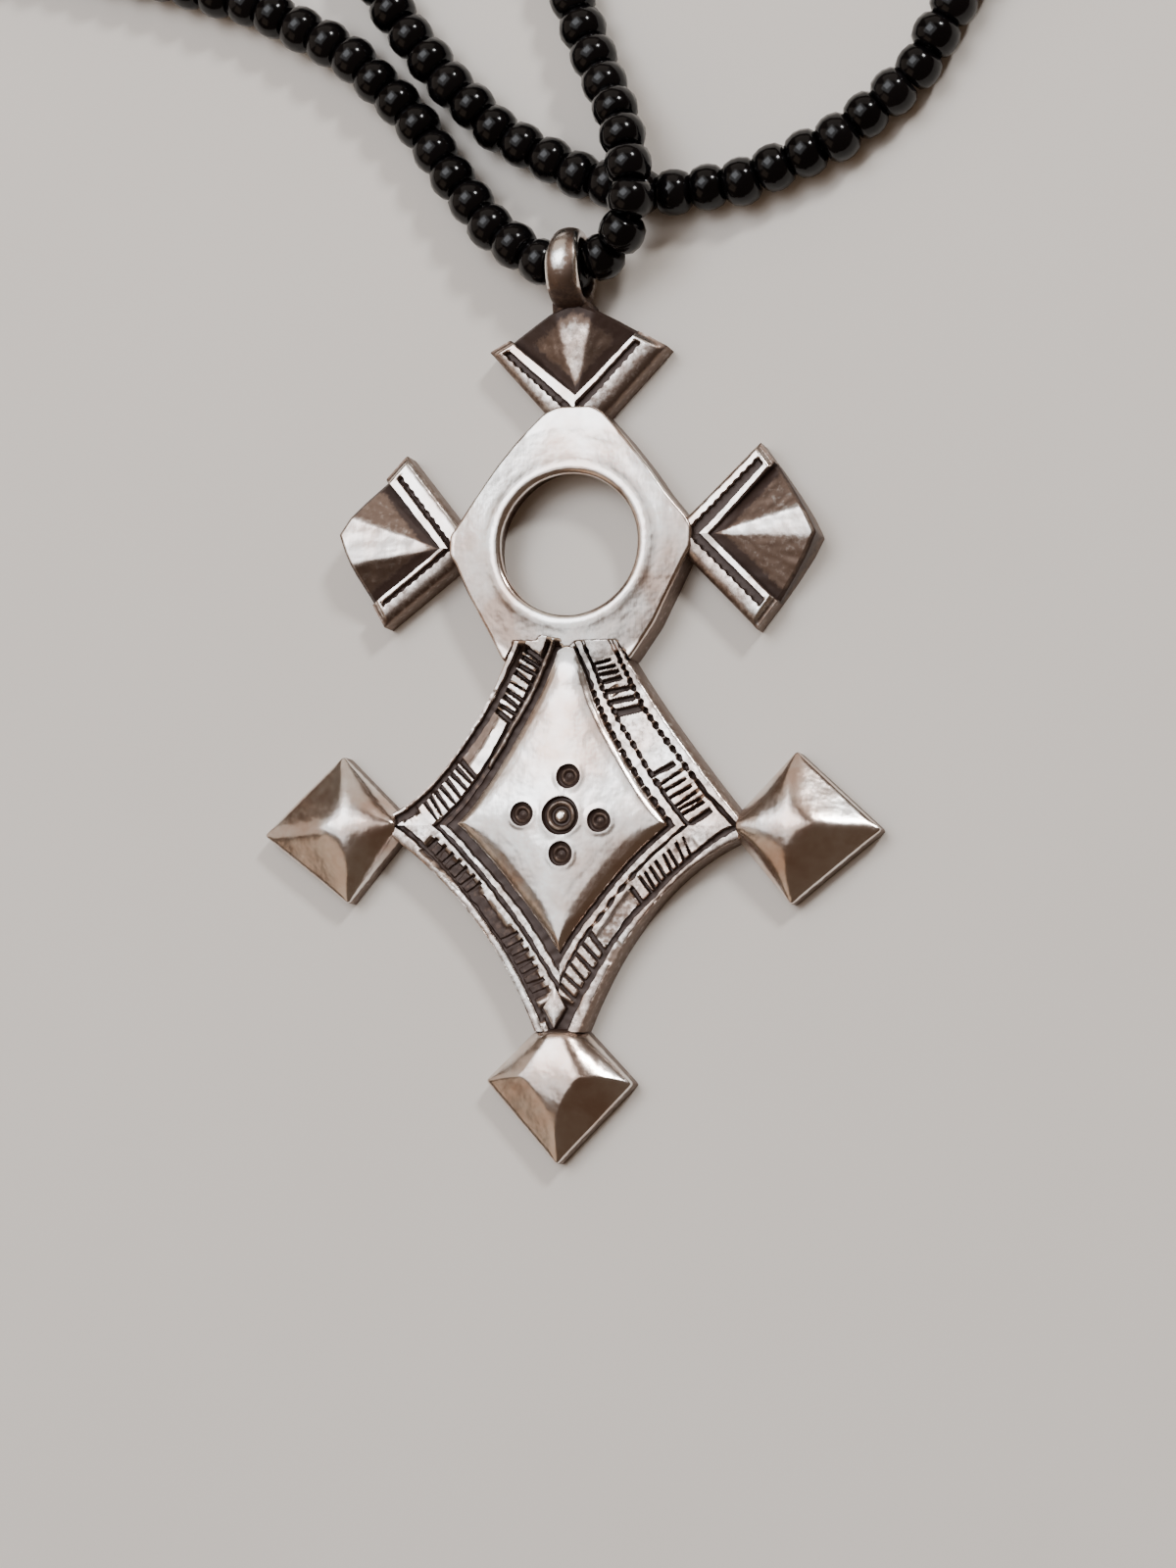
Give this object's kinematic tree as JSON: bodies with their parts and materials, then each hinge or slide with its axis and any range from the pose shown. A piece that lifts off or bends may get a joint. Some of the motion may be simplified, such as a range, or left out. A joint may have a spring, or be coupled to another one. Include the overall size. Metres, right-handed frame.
{
  "type": "tuareg cross pendant on a bead string",
  "caption": "Cast silver cross pendant with a round eye, engraved lozenge, fans and points, hung by its bail on a closed string of small black beads.",
  "frame": {"origin": "under the centre punch of the lozenge, on the flat back of the cross", "axes": "+X to the wearer's left, seen as right in the picture; +Y from the lozenge up to the bail; +Z out of the engraved front"},
  "size_m": [0.1535, 0.1712, 0.0064],
  "materials": {
    "silver": "cast, hand-filed and polished silver with dark patina in its grooves",
    "black_glass": "glossy opaque black glass beads"
  },
  "bodies": {
    "root": {"cross": "silver", "bead_string": "black_glass"}
  },
  "joints": []
}
